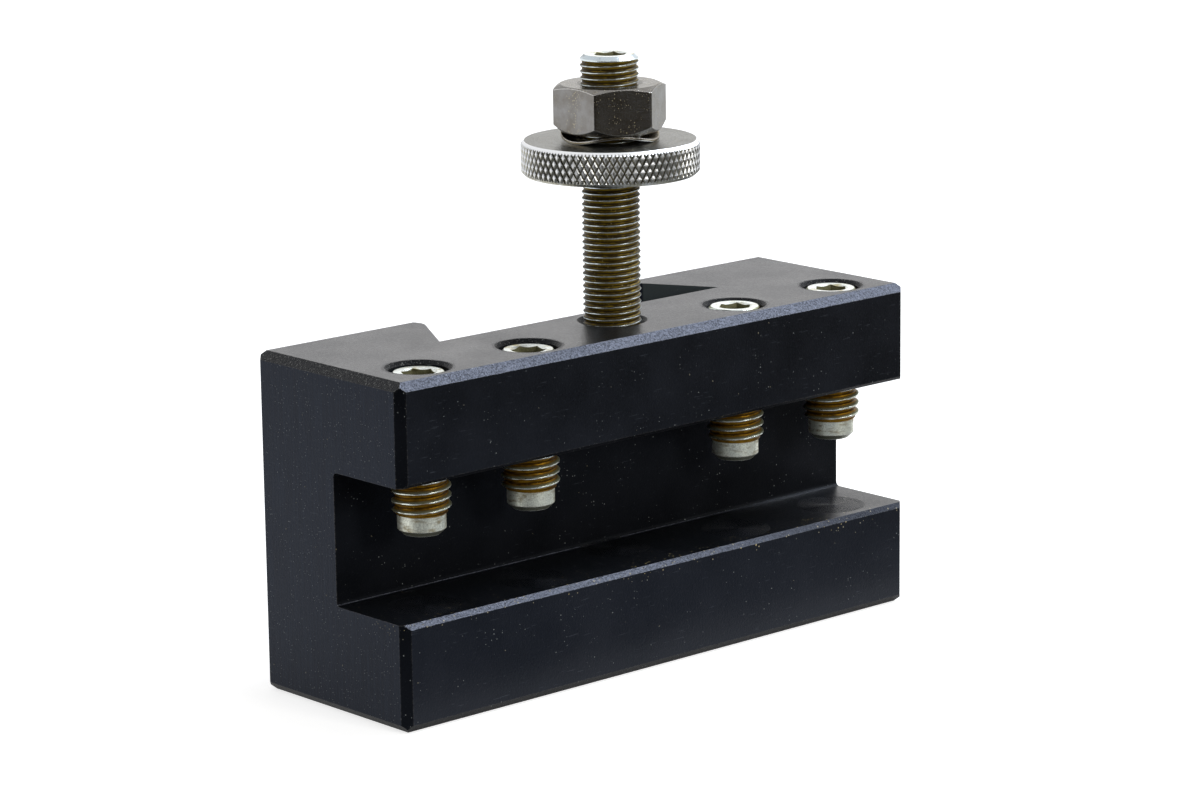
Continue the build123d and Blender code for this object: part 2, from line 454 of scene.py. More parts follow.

# %% Painted glints, dust, flecks and chips
# Painted glints: pale grains on the cuts that face up.
glint_noise = spread(tree, grain(tree, place, 3.2, 2.0), 0.61, 0.69)
painted_glints = times(tree, dark_cut, upward, glint_noise, 0.45)
by_lip = times(
    tree,
    spread(tree, at["Y"], -12.0, -20.0),
    spread(tree, at["Z"], 20.0, 18.5),
    spread(tree, at["Z"], 15.5, 17.0),
)
settled = times(tree, calc(tree, "ADD", on_end, cut), 0.12)
settled = calc(tree, "MULTIPLY_ADD", by_lip, 0.16, settled)
settled = calc(tree, "ADD", settled, grain(tree, place, 0.2, 4.0, 0.6))
dust = times(
    tree,
    strewn_specks(tree, place, 0.6, 0.07),
    spread(tree, settled, 0.51, 0.62),
)
fleck = strewn_specks(tree, place, 2.6, 0.11)
chips = times(
    tree,
    strewn_specks(tree, place, 0.6, 0.11, 0.4),
    by_lip,
    spread(tree, settled, 0.56, 0.70),
    spread(tree, bare_and_highlit, 0.0, 1.0, 1.0, 0.35),
)
for share, colour in (
    (painted_glints, (0.34, 0.34, 0.33, 1)),
    (times(tree, dust, 0.6), (0.32, 0.34, 0.33, 1)),
    (times(tree, fleck, 0.45), (0.32, 0.28, 0.18, 1)),
    (chips, (0.42, 0.34, 0.17, 1)),
):
    oxide = blend_colour(tree, share, oxide, colour)

# %% The oxide's shine
shine = spread(tree, fine, 0.3, 0.7, 0.28, 0.38)
shine = calc(tree, "ADD", shine, spread(tree, cloud, 0.3, 0.7, -0.03, 0.04))
milled = times(tree, lines, spread(tree, on_end, 0.0, 1.0, 0.1, 1.0))
rough = times(tree, cut, upward)
rough = times(tree, fine, spread(tree, rough, 0.0, 1.0, 0.25, 1.0))
skin = bumps(tree, milled, 0.008 * MM, 0.7)
skin = bumps(tree, rough, 0.16 * MM, 1.0, skin)
skin = bumps(tree, ring_height, 0.12 * MM, 0.9, skin)
skin = bumps(tree, calc(tree, "ADD", dust, fleck), 0.06 * MM, 0.8, skin)
# Painted shade in the reflection: its tint turns dark in the slot, on what looks down and
# on the other cuts, and its level drops on what looks down and in the slot.
tint = blend_colour(tree, on_end, (0.36, 0.42, 0.58, 1), (0.02, 0.11, 0.36, 1))
tint = blend_colour(tree, painted_shade, tint, (0.08, 0.10, 0.14, 1))
level = times(
    tree,
    spread(tree, facing["Z"], -0.3, -0.6, 0.5, 0.04),
    spread(tree, in_slot, 0.0, 1.0, 1.0, 0.6),
)
drive(
    tree,
    shader,
    Base_Color=oxide,
    Metallic=times(tree, bare_and_highlit, 0.35),
    Roughness=shine,
    Specular_Tint=tint,
    Specular_IOR_Level=level,
    Normal=skin,
)
nodes["holder_body"].data.materials[0] = black

# %% [markdown]
# ## Zinc-plated threads
# The screws and the stud are plated, and old oil has dried to a golden brown in
# their grooves while the crests stay bright. The thread meshes carry two attributes:
# "groove" runs from 0 on a crest to 1 at a root, and "above_crest" is the sine of
# the turn from the nearest crest. So the stain follows the thread wherever it goes.


# %% Threads
def thread_finish(name, crest, stain, root, dull, start, full, clean, plated):
    """Bright crest, stained under it, dark at the root and dull on the upper flank.
    The stain sets in from start to full of the depth. clean says how far from the
    root's middle, in sines of the turn, it turns golden, and plated how much metal
    still shows in the groove."""
    material, tree, shader, place = new_material(name, {})
    groove = add(tree, "ShaderNodeAttribute", out="Fac", attribute_name="groove")
    side = add(tree, "ShaderNodeAttribute", out="Fac", attribute_name="above_crest")
    patch = grain(tree, place, 0.9, 4.0, 0.65)
    smear = grain(tree, stretched(tree, place, (0.5, 0.5, 2.4)), 1.0, 3.0, 0.7)
    depth = calc(tree, "ADD", groove, spread(tree, smear, 0.3, 0.7, -0.10, 0.12))
    side = calc(tree, "ABSOLUTE", side)
    side = calc(tree, "ADD", side, spread(tree, smear, 0.3, 0.7, -0.4, 0.4))
    up = surface_normal(tree)["Z"]
    golden = spread(tree, side, clean, clean + 0.5)
    golden = calc(tree, "MAXIMUM", golden, spread(tree, up, -0.1, -0.5))
    golden = times(tree, golden, spread(tree, patch, 0.3, 0.55, 0.4, 1.0))
    tone = blend_colour(tree, golden, root, stain)
    upper = times(tree, spread(tree, up, 0.15, 0.5), spread(tree, depth, 0.9, 0.4))
    tone = blend_colour(tree, upper, tone, dull)
    turned_end = times(
        tree, spread(tree, up, 0.5, 0.7), spread(tree, groove, 0.05, 0.0), 0.6
    )
    crest = blend_colour(tree, turned_end, crest, (0.34, 0.40, 0.46, 1))
    colour = blend_colour(tree, spread(tree, depth, start, full), crest, tone)
    spot = times(tree, strewn_specks(tree, place, 0.5, 0.07), 0.6)
    fine = grain(tree, place, 5.0, 2.0)
    drive(
        tree,
        shader,
        Base_Color=blend_colour(tree, spot, colour, (0.34, 0.27, 0.12, 1)),
        Metallic=spread(tree, depth, start, full, 1.0, plated),
        Roughness=spread(tree, depth, start, full, 0.26, 0.46),
        Specular_IOR_Level=spread(tree, depth, start, full, 0.5, 0.12),
        Normal=bumps(tree, fine, 0.02 * MM, 0.8),
    )
    return material


screw_thread = thread_finish(
    "zinc_screw_thread",
    crest=(0.84, 0.90, 0.84, 1),
    stain=(0.27, 0.140, 0.008, 1),
    root=(0.050, 0.022, 0.001, 1),
    dull=(0.26, 0.27, 0.17, 1),
    start=0.03,
    full=0.15,
    clean=0.42,
    plated=0.70,
)
stud_thread = thread_finish(
    "zinc_stud_thread",
    crest=(0.80, 0.88, 0.90, 1),
    stain=(0.24, 0.16, 0.010, 1),
    root=(0.026, 0.015, 0.002, 1),
    dull=(0.036, 0.029, 0.010, 1),
    start=0.03,
    full=0.21,
    clean=0.75,
    plated=0.35,
)

# %% [markdown]
# The cut end of a screw is duller than its thread: the zinc is chalky, with brown
# creeping in from the edges. The same recipe makes the point, the top face and the
# broached socket, with other colours and another roughness.


# %% Plated ends
def plated_end(name, pale, brown, share, rough, metal, under=None):
    """under is the painted shade on the parts that lean down, whose edges get a pale
    painted highlight.
    """
    material, tree, shader, place = new_material(name, {"Metallic": metal})
    patch = grain(tree, stretched(tree, place, (0.45, 0.45, 1.3)), 1.0, 4.0, 0.62)
    fine = grain(tree, place, 4.0, 3.0, 0.6)
    edge = use_group(tree, edges, {"Width": 0.4 * MM})["Mask"]
    stained = calc(
        tree,
        "MULTIPLY_ADD",
        edge,
        share * 0.6,
        spread(tree, patch, 0.5, 0.72, 0.0, share),
    )
    colour = blend_colour(tree, calc(tree, "MINIMUM", stained, 1.0), pale, brown)
    # Painted shade: parts that lean down take the darker under colour, and a painted
    # highlight runs pale along their edges.
    if under:
        down = spread(tree, surface_normal(tree)["Z"], -0.3, -0.5)
        colour = blend_colour(tree, down, colour, under)
        rim = times(tree, down, spread(tree, edge, 0.04, 0.16))
        colour = blend_colour(tree, rim, colour, (0.9, 0.92, 0.85, 1))
    shade = spread(tree, fine, 0.3, 0.7, 0.66, 1.14)
    colour = add(
        tree, "ShaderNodeVectorMath", {0: colour, "Scale": shade}, operation="SCALE"
    )
    drive(
        tree,
        shader,
        Base_Color=colour,
        Roughness=spread(tree, patch, 0.3, 0.7, rough - 0.06, rough + 0.08),
        Normal=bumps(tree, fine, 0.02 * MM, 0.7),
    )
    return material


dog_point = plated_end(
    "zinc_dog_point",
    pale=(0.74, 0.76, 0.66, 1),
    brown=(0.24, 0.18, 0.07, 1),
    share=0.95,
    rough=0.42,
    metal=0.72,
    under=(0.20, 0.20, 0.15, 1),
)
screw_top = plated_end(
    "zinc_screw_top",
    pale=(0.80, 0.84, 0.82, 1),
    brown=(0.44, 0.38, 0.16, 1),
    share=0.9,
    rough=0.33,
    metal=0.85,
)
socket_wall = plated_end(
    "broached_socket",
    pale=(0.26, 0.25, 0.14, 1),
    brown=(0.07, 0.058, 0.02, 1),
    share=0.8,
    rough=0.42,
    metal=0.6,
)

# %% [markdown]
# ## The thread as a rule
# A screw thread is a grid bent round an axis. Each row of the grid climbs one pitch a
# turn, so the rows run along the crests and roots and the edges stay sharp with few
# faces. Geometry Nodes do the bending: the distance from the nearest crest, in
# pitches, sets how far a point sinks, and a cone trims the thread at both ends.


# %% Sockets of a Geometry Nodes tree
def new_shape(name, inputs):
    tree = bpy.data.node_groups.new(name, "GeometryNodeTree")
    kinds = {float: "NodeSocketFloat", int: "NodeSocketInt"}
    for socket, value in inputs.items():
        kind = kinds.get(type(value), "NodeSocketMaterial")
        made = tree.interface.new_socket(socket, in_out="INPUT", socket_type=kind)
        if value is not None:
            made.default_value = value
    tree.interface.new_socket(
        "Geometry", in_out="OUTPUT", socket_type="NodeSocketGeometry"
    )
    return tree, tree.nodes.new("NodeGroupInput").outputs


def wrapped_grid(tree, columns, rows):
    """A flat grid, and each point's share of a turn and of the way up."""
    grid = add(
        tree,
        "GeometryNodeMeshGrid",
        {
            "Size X": 1.0,
            "Size Y": 1.0,
            "Vertices X": calc(tree, "ADD", columns, 1.0),
            "Vertices Y": calc(tree, "ADD", rows, 1.0),
        },
    )
    flat = parts(tree, add(tree, "GeometryNodeInputPosition"))
    return grid, calc(tree, "ADD", flat["X"], 0.5), calc(tree, "ADD", flat["Y"], 0.5)


def mark(tree, mesh, name, value):
    """Stores a value on every point of mesh under a name."""
    return add(
        tree,
        "GeometryNodeStoreNamedAttribute",
        {"Geometry": mesh, "Name": name, "Value": value},
        data_type="FLOAT",
        domain="POINT",
    )


def bend_round(tree, mesh, turn, radius, height):
    """Puts each point of mesh at its turn, radius and height round the Z axis."""
    angle = times(tree, turn, math.tau)
    x = times(tree, radius, calc(tree, "COSINE", angle))
    y = times(tree, radius, calc(tree, "SINE", angle))
    place = add(tree, "ShaderNodeCombineXYZ", {"X": x, "Y": y, "Z": height})
    return add(tree, "GeometryNodeSetPosition", {"Geometry": mesh, "Position": place})


def close_shape(tree, mesh, finish):
    """Welds the seam, then ends the tree with real faces and their material."""
    mesh = add(
        tree, "GeometryNodeMergeByDistance", {"Geometry": mesh, "Distance": 2e-6}
    )
    mesh = add(tree, "GeometryNodeRealizeInstances", {"Geometry": mesh})
    mesh = add(
        tree, "GeometryNodeSetMaterial", {"Geometry": mesh, "Material": finish}
    )
    tree.links.new(mesh, tree.nodes.new("NodeGroupOutput").inputs[0])


# %% The thread's tree
thread_tree, given = new_shape(
    "threaded_shank",
    {
        "Diameter": 0.00975,
        "Pitch": 0.001,
        "Thread depth": 0.0006,
        "Half crest": 0.07,
        "Flank": 0.23,
        "Plain end": 0.0,
        "Run-out": 0.0003,
        "Bottom": 0.0,
        "Top": 0.01,
        "Top chamfer": 0.0006,
        "Bottom chamfer": 0.0006,
        "Columns": 64,
        "Rows a turn": 8,
        "Finish": None,
    },
)
t = thread_tree
length = calc(t, "SUBTRACT", given["Top"], given["Bottom"])
turns = calc(t, "CEIL", calc(t, "DIVIDE", length, given["Pitch"]))
turns = calc(t, "ADD", turns, 1.0)
rows = times(t, turns, given["Rows a turn"])
grid, share_round, share_up = wrapped_grid(t, given["Columns"], rows)
climb = calc(t, "MULTIPLY_ADD", share_up, turns, share_round)
climb = calc(t, "SUBTRACT", climb, 1.0)
height = calc(t, "MULTIPLY_ADD", climb, given["Pitch"], given["Bottom"])
height = calc(t, "MAXIMUM", height, given["Bottom"])
height = calc(t, "MINIMUM", height, given["Top"])

# %% How deep each point lies
above = calc(t, "SUBTRACT", height, given["Bottom"])
phase = calc(t, "SUBTRACT", calc(t, "DIVIDE", above, given["Pitch"]), share_round)
from_crest = calc(t, "PINGPONG", phase, 0.5)
to_root = calc(t, "ADD", given["Half crest"], given["Flank"])
groove = spread(t, from_crest, given["Half crest"], to_root)
left_up = calc(t, "SUBTRACT", given["Top"], height)
run_out = calc(t, "SUBTRACT", left_up, given["Plain end"])
groove = times(t, groove, spread(t, run_out, 0.0, given["Run-out"]))
outer = times(t, given["Diameter"], 0.5)
radius = calc(t, "SUBTRACT", outer, times(t, groove, given["Thread depth"]))
for end, distance in (("Top chamfer", left_up), ("Bottom chamfer", above)):
    cone = calc(t, "ADD", calc(t, "SUBTRACT", outer, given[end]), distance)
    radius = calc(t, "MINIMUM", radius, cone)
mesh = mark(t, grid, "groove", groove)
mesh = mark(t, mesh, "above_crest", calc(t, "SINE", times(t, phase, math.tau)))
mesh = bend_round(t, mesh, share_round, radius, height)
close_shape(t, mesh, given["Finish"])


# %% [markdown]
# A tree is run by a modifier on an empty mesh. Its inputs are set by each socket's
# identifier, the result is copied out as a plain mesh, and the modifier goes.


# %% Running a tree
def run_tree(name, tree, **values):
    obj = bpy.data.objects.new(name, bpy.data.meshes.new(name))
    scene.collection.objects.link(obj)
    modifier = obj.modifiers.new("shape", "NODES")
    modifier.node_group = tree
    wanted = {key.replace("_", " ").lower(): value for key, value in values.items()}
    for item in tree.interface.items_tree:
        if item.item_type == "SOCKET" and item.in_out == "INPUT":
            if item.name.lower() in wanted:
                modifier[item.identifier] = wanted.pop(item.name.lower())
    assert not wanted, wanted
    obj.update_tag()
    graph = bpy.context.evaluated_depsgraph_get()
    made = bpy.data.meshes.new_from_object(
        obj.evaluated_get(graph), preserve_all_data_layers=True, depsgraph=graph
    )
    obj.modifiers.remove(modifier)
    empty, obj.data = obj.data, made
    bpy.data.meshes.remove(empty)
    made.name = name
    finish = [m for m in made.materials if m][0]
    made.materials.clear()
    made.materials.append(finish)
    made.polygons.foreach_set("material_index", [0] * len(made.polygons))
    return obj


# %% [markdown]
# ## Ends that grow from the thread
# The tree leaves an open rim at each end. From there a short mesh function grows the
# rest ring by ring: point for point round the same angles, so no seam opens and no
# face crosses another. A ring is round or hexagonal, and the last one closes on the
# axis.


# %% Growing rings
def rims(bm):
    """The lower and the upper open rim, each in order round the Z axis."""
    loose = {v for e in bm.edges if e.is_boundary for v in e.verts}
    middle = (max(v.co.z for v in loose) + min(v.co.z for v in loose)) / 2
    lower = [v for v in loose if v.co.z < middle]
    upper = [v for v in loose if v.co.z > middle]
    return [sorted(s, key=lambda v: math.atan2(v.co.y, v.co.x)) for s in (lower, upper)]


def six_sided(angle, half_flats, turn):
    """How far a hexagon with a flat along turn reaches in one direction."""
    from_flat = (angle - turn + math.pi / 6) % (math.pi / 3) - math.pi / 6
    return half_flats / math.cos(from_flat)


def bridge(bm, rim, ring, finish):
    for i, v in enumerate(rim):
        j = (i + 1) % len(rim)
        bm.faces.new((v, rim[j], ring[j], ring[i])).material_index = finish


def grow(bm, rim, reach, z, finish):
    """Adds a ring. reach may be a function of the angle, and z one of the reach."""
    ring = []
    for v in rim:
        angle = math.atan2(v.co.y, v.co.x)
        r = reach(angle) if callable(reach) else reach
        height = z(r) if callable(z) else z
        ring.append(bm.verts.new((r * math.cos(angle), r * math.sin(angle), height)))
    bridge(bm, rim, ring, finish)
    return ring


def close_on_axis(bm, rim, z, finish):
    pole = bm.verts.new((0, 0, z))
    for i, v in enumerate(rim):
        face = bm.faces.new((v, rim[(i + 1) % len(rim)], pole))
        face.material_index = finish


# %% A hexagon socket
SOCKET_FLATS, SOCKET_DEPTH = 5.0 * MM, 5.0 * MM
MOUTH_SPARE = 0.1 * MM
MOUTH_SLOPE, DRILL_POINT = math.radians(30), math.radians(31)


def grow_socket(bm, rim, top, turn, finish):
    """A broached hexagon with a conical mouth and a drilled end; one of its corners
    points along turn."""
    half = SOCKET_FLATS / 2
    mouth = half / math.cos(math.pi / 6) + MOUTH_SPARE
    floor = top - SOCKET_DEPTH

    def hexagon(angle):
        return six_sided(angle, half, turn + math.pi / 6)

    def on_cone(r):
        return top - (mouth - r) * math.tan(MOUTH_SLOPE)

    rim = grow(bm, rim, mouth, top, finish)
    rim = grow(bm, rim, hexagon, on_cone, finish)
    rim = grow(bm, rim, hexagon, floor, finish + 1)
    rim = grow(bm, rim, half, floor, finish + 1)
    close_on_axis(bm, rim, floor - half * math.tan(DRILL_POINT), finish + 1)


# %% Finishing a grown mesh
def settle(obj, bm, place, turn, crease=30):
    """Closes the work on a mesh: outward faces, its place, and soft or sharp edges.
    Edges inside the first finish are sharp past crease, all others past 25 degrees."""
    bmesh.ops.remove_doubles(bm, verts=bm.verts, dist=1e-7)
    bmesh.ops.recalc_face_normals(bm, faces=bm.faces)
    open_edges = sum(not e.is_manifold for e in bm.edges)
    for face in bm.faces:
        face.smooth = True
    for edge in bm.edges:
        inside = all(f.material_index == 0 for f in edge.link_faces)
        limit = math.radians(crease if inside else 25)
        edge.smooth = edge.calc_face_angle(0.0) < limit
    bm.transform(Matrix.Translation(place) @ Matrix.Rotation(turn, 4, "Z"))
    bm.to_mesh(obj.data)
    bm.free()
    print(obj.name, len(obj.data.polygons), "faces,", open_edges, "open edges")


# %% [markdown]
# ## Clamp screws
# Four dog-point set screws hang through the upper jaw. The thread comes from the
# tree, and the point, the top face and the socket grow from its rims.

# %% The four screws
SCREW_PITCH = 1.5875 * MM
DOG_RADIUS, DOG_LENGTH, DOG_CHAMFER = 3.95 * MM, 3.3 * MM, 0.9 * MM
SOCKET_TURNS = (8, 19, 38, 45)  # where a corner of each socket points, in degrees
for i, ((low, high), degrees) in enumerate(zip(screw_boxes, SOCKET_TURNS), 1):
    screw = run_tree(
        f"threaded_clamp_screw_{i}",
        thread_tree,
        diameter=high.x - low.x,
        pitch=SCREW_PITCH,
        thread_depth=0.62 * MM,
        half_crest=0.06,
        flank=0.235,
        rows_a_turn=12,
        bottom=low.z + DOG_LENGTH,
        top=high.z,
        top_chamfer=0.85 * MM,
        bottom_chamfer=0.85 * MM,
        finish=screw_thread,
    )
    for finish in (screw_top, socket_wall, dog_point):
        screw.data.materials.append(finish)
    bm = bmesh.new()
    bm.from_mesh(screw.data)
    lower, upper = rims(bm)
    grow_socket(bm, upper, high.z, 0.0, 1)
    ring = grow(bm, lower, DOG_RADIUS, low.z + DOG_LENGTH, 3)
    ring = grow(bm, ring, DOG_RADIUS, low.z + DOG_CHAMFER, 3)
    ring = grow(bm, ring, DOG_RADIUS - DOG_CHAMFER, low.z, 3)
    close_on_axis(bm, ring, low.z, 3)
    axis = (low + high) / 2
    settle(screw, bm, (axis.x, axis.y, 0), math.radians(degrees), crease=70)
    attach(screw, f"clamp_screw_{i}")
    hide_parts(f"clamp_screw_{i}")

# %% [markdown]
# ## Height stud
# The stud is the same tree with a finer pitch. Its lower end is closed by a plain
# face inside the jaw, and its top has a small socket too.

# %% The stud
STUD_PITCH = 25.4 / 24 * MM
STUD_TURN = 32.7  # where a corner of its socket points, in degrees
low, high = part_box("height_stud")
stud = run_tree(
    "threaded_height_stud",
    thread_tree,
    diameter=high.x - low.x,
    pitch=STUD_PITCH,
    thread_depth=0.36 * MM,
    half_crest=0.065,
    flank=0.25,
    plain_end=0.8 * MM,
    bottom=low.z,
    top=high.z,
    top_chamfer=0.7 * MM,
    bottom_chamfer=0.7 * MM,
    finish=stud_thread,
)
for finish in (screw_top, socket_wall):
    stud.data.materials.append(finish)
bm = bmesh.new()
bm.from_mesh(stud.data)
lower, upper = rims(bm)
grow_socket(bm, upper, high.z, 0.0, 1)
close_on_axis(bm, lower, low.z, 1)
axis = (low + high) / 2
settle(stud, bm, (axis.x, axis.y, 0), math.radians(STUD_TURN), crease=70)
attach(stud, "holder")
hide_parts("height_stud")

# %% [markdown]
# ## Knurled height nut
# A diamond knurl is two families of slanting grooves. Between them stand small
# pyramids, so the height of a point is the smaller of its distances to the nearest
# groove of each family, and their tips are cut flat halfway up. The grid's lines fall
# on the grooves and on the tips, and its squares are split along the grooves, so the
# diamonds are crisp.

# %% Nut finishes
rim_metal, tree, shader, place = new_material("knurled_rim", {"Metallic": 1.0})
tip = add(tree, "ShaderNodeAttribute", out="Fac", attribute_name="knurl")
fine = grain(tree, place, 5.0, 2.0)
dirt = grain(tree, place, 0.5, 3.0)
# The grooves are dark brown, partly dirt and partly painted shade of the deep V-grooves,
# and the tips are bright.
low_metal = blend_colour(
    tree, spread(tree, dirt, 0.4, 0.65), (0.10, 0.08, 0.03, 1), (0.03, 0.024, 0.010, 1)
)
metal = blend_colour(
    tree, spread(tree, tip, 0.10, 0.32), low_metal, (0.60, 0.62, 0.64, 1)
)
metal = blend_colour(tree, spread(tree, tip, 0.34, 0.48), metal, (0.84, 0.85, 0.87, 1))
# Painted shade: facets that lean down get a duller grey-brown, varied by the dirt noise.
down_facing_shade = spread(tree, surface_normal(tree)["Z"], -0.06, -0.22)
down_facing_shade = times(tree, down_facing_shade, spread(tree, dirt, 0.3, 0.5, 0.6, 1.0))
metal = blend_colour(tree, down_facing_shade, metal, (0.40, 0.38, 0.30, 1))
drive(
    tree,
    shader,
    Base_Color=metal,
    Roughness=spread(tree, tip, 0.1, 0.5, 0.42, 0.32),
    Normal=bumps(tree, fine, 0.006 * MM, 0.5),
)


def turned_finish(name, pale, dark, rough, per_mm, axis):
    """A faced metal surface: rings round the axis, a little dirt and dust. Its upright
    walls get a painted highlight along their top and bottom edges and painted shade
    as a dark line at their upright corners."""
    edge_on = {"Metallic": 1.0, "Specular Tint": (0.62, 0.62, 0.61, 1)}
    material, tree, shader, place = new_material(name, edge_on)
    made = use_group(
        tree, rings, {"Place": place, "Axis": tuple(axis), "Rings a mm": per_mm}
    )
    patch = grain(tree, place, 0.35, 4.0, 0.6)
    colour = blend_colour(tree, spread(tree, patch, 0.35, 0.7), pale, dark)
    rolled = add(tree, "ShaderNodeBevel", {"Radius": 0.16 * MM}, samples=8)
    own = add(tree, "ShaderNodeNewGeometry", out="Normal")
    facing = {0: rolled, 1: own}
    lean = add(tree, "ShaderNodeVectorMath", facing, "Value", operation="DOT_PRODUCT")
    upright = calc(tree, "ABSOLUTE", parts(tree, own)["Z"])
    upright = spread(tree, upright, 0.8, 0.5)
    # Painted highlight: a pale line where the upright walls meet the faces above and
    # below.
    lip_highlight = calc(tree, "ABSOLUTE", parts(tree, rolled)["Z"])
    lip_highlight = times(tree, spread(tree, lip_highlight, 0.06, 0.25), upright)
    # Painted shade: a dark line along the upright corners of the walls.
    corner = times(tree, spread(tree, lean, 0.985, 0.94), upright, 0.8)
    colour = blend_colour(tree, corner, colour, (0.03, 0.027, 0.022, 1))
    colour = blend_colour(tree, lip_highlight, colour, (0.85, 0.84, 0.82, 1))
    spot = strewn_specks(tree, place, 0.3, 0.05)
    spot = times(tree, spot, spread(tree, patch, 0.42, 0.6, 0.2, 1.0))
    shine = spread(tree, made["Height"], 0.3, 0.7, rough - 0.05, rough + 0.07)
    fine = grain(tree, place, 4.0, 3.0, 0.6)
    skin = bumps(tree, made["Height"], 0.004 * MM, 0.6, rolled)
    drive(
        tree,
        shader,
        Base_Color=blend_colour(
            tree, times(tree, spot, 0.8), colour, (0.90, 0.80, 0.52, 1)
        ),
        Roughness=calc(tree, "MULTIPLY_ADD", spot, 0.3, shine),
        Normal=bumps(tree, fine, 0.030 * MM, 0.8, skin),
    )
    return material


nut_axis = (stud_axis.x, stud_axis.y, 0.0)
faced_nut = turned_finish(
    "faced_nut_side",
    pale=(0.27, 0.275, 0.27, 1),
    dark=(0.19, 0.19, 0.185, 1),
    rough=0.26,
    per_mm=4.0,
    axis=nut_axis,
)

# %% The knurl's tree
knurl_tree, given = new_shape(
    "diamond_knurl",
    {
        "Diameter": 0.0297,
        "Depth": 0.0004,
        "Highest tip": 0.5,
        "Bottom": 0.0,
        "Top": 0.0057,
        "Chamfer": 0.0005,
        "Chamfer's mark": 0.7,
        "Teeth": 76,
        "Rows of half diamonds": 5,
        "Cuts a diamond": 8,
        "Finish": None,
    },
)
t = knurl_tree
columns = times(t, given["Teeth"], given["Cuts a diamond"])
rows = times(t, given["Rows of half diamonds"], given["Cuts a diamond"], 0.5)
grid, share_round, share_up = wrapped_grid(t, columns, rows)
across = times(t, share_round, given["Teeth"])
along = times(t, share_up, given["Rows of half diamonds"], 0.5)

# %% Pyramids between the grooves
lean_left = calc(t, "PINGPONG", calc(t, "ADD", across, along), 0.5)
lean_right = calc(t, "PINGPONG", calc(t, "SUBTRACT", across, along), 0.5)
tip = times(t, calc(t, "MINIMUM", lean_left, lean_right), 2.0)
tip = calc(t, "MINIMUM", tip, given["Highest tip"])
height = add(
    t,
    "ShaderNodeMix",
    {"Factor": share_up, 2: given["Bottom"], 3: given["Top"]},
)
outer = times(t, given["Diameter"], 0.5)
sunk = calc(t, "SUBTRACT", given["Highest tip"], tip)
radius = calc(t, "SUBTRACT", outer, times(t, sunk, given["Depth"]))
above = calc(t, "SUBTRACT", height, given["Bottom"])
below = calc(t, "SUBTRACT", given["Top"], height)
cone = calc(t, "SUBTRACT", outer, given["Chamfer"])
cone = calc(t, "ADD", cone, calc(t, "MINIMUM", above, below))
trimmed = calc(t, "LESS_THAN", cone, radius)
radius = calc(t, "MINIMUM", radius, cone)
tip = calc(t, "MAXIMUM", tip, times(t, trimmed, given["Chamfer's mark"]))

# %% The tips are marked, and the grid is bent
bent = mark(t, grid, "knurl", tip)
bent = bend_round(t, bent, share_round, radius, height)
close_shape(t, bent, given["Finish"])

# %% The nut
NUT_BORE, NUT_CHAMFER, KNURL_DEPTH = 9.85 * MM, 0.6 * MM, 0.46 * MM
low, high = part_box("height_nut")
nut = run_tree(
    "knurled_height_nut",
    knurl_tree,
    diameter=high.x - low.x,
    depth=KNURL_DEPTH,
    bottom=low.z,
    top=high.z,
    chamfer=NUT_CHAMFER,
    finish=rim_metal,
)
nut.data.materials.append(faced_nut)
bm = bmesh.new()
bm.from_mesh(nut.data)
lower, upper = rims(bm)
bore = NUT_BORE / 2
mouth = bore + NUT_CHAMFER
ring = grow(bm, upper, mouth, high.z, 1)
ring = grow(bm, ring, bore, high.z - NUT_CHAMFER, 1)
ring = grow(bm, ring, bore, low.z + NUT_CHAMFER, 1)
ring = grow(bm, ring, mouth, low.z, 1)
bridge(bm, ring, lower, 1)

# %% Squares split along the grooves
level = bm.verts.layers.float["knurl"]
split = {"FIXED": [], "ALTERNATE": []}
for face in bm.faces:
    if face.material_index == 0:
        a, b, c, d = (v[level] for v in face.verts)
        split["FIXED" if a + c < b + d else "ALTERNATE"].append(face)
for way, faces in split.items():
    bmesh.ops.triangulate(bm, faces=faces, quad_method=way)
axis = (low + high) / 2
settle(nut, bm, (axis.x, axis.y, 0), 0.0, crease=24)
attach(nut, "height_nut")
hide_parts("height_nut")

# %% [markdown]
# ## Hexagon nut and wave washer
# Their CAD solids already have the right shape, chamfers and waves, so they stay and
# only get their finishes: satin plate with brown specks, and bright spring steel.

# %% Their finishes
nodes["lock_nut"].data.materials[0] = turned_finish(
    "satin_nut",
    pale=(0.28, 0.275, 0.27, 1),
    dark=(0.19, 0.175, 0.155, 1),
    rough=0.20,
    per_mm=3.0,
    axis=nut_axis,
)
nodes["wave_washer"].data.materials[0] = turned_finish(
    "spring_steel",
    pale=(0.66, 0.62, 0.52, 1),
    dark=(0.34, 0.26, 0.13, 1),
    rough=0.25,
    per_mm=3.0,
    axis=nut_axis,
)

# %% [markdown]
# ## Floor and light
# A pale floor takes the shadow. Its colour is lifted a little for what the camera
# and the polished metal see, so that it runs into the white backdrop. One large cool
# softbox hangs over the right of the block, two warm ones stand in front and at the
# far right, and the world fills in.


# %% The floor
FLOOR_LIFT, FLOOR_LIFT_TO_CAMERA = 0.62, 0.13
WORLD_FILL, WORLD_SEEN = 0.45, 1.0


def flat_sheet(name, x0, x1, y0, y1, z):
    mesh = bpy.data.meshes.new(name)
    corners = [(x0, y0, z), (x1, y0, z), (x1, y1, z), (x0, y1, z)]
    mesh.from_pydata(corners, [], [(0, 1, 2, 3)])
    made = bpy.data.objects.new(name, mesh)
    scene.collection.objects.link(made)
    return made


def seen_rays(tree):
    """A light path's outputs, and a mask of what cameras, mirrors and glass see."""
    ray = add(tree, "ShaderNodeLightPath").node.outputs
    bent = calc(tree, "MAXIMUM", ray["Is Glossy Ray"], ray["Is Transmission Ray"])
    return ray, calc(tree, "MAXIMUM", ray["Is Camera Ray"], bent)


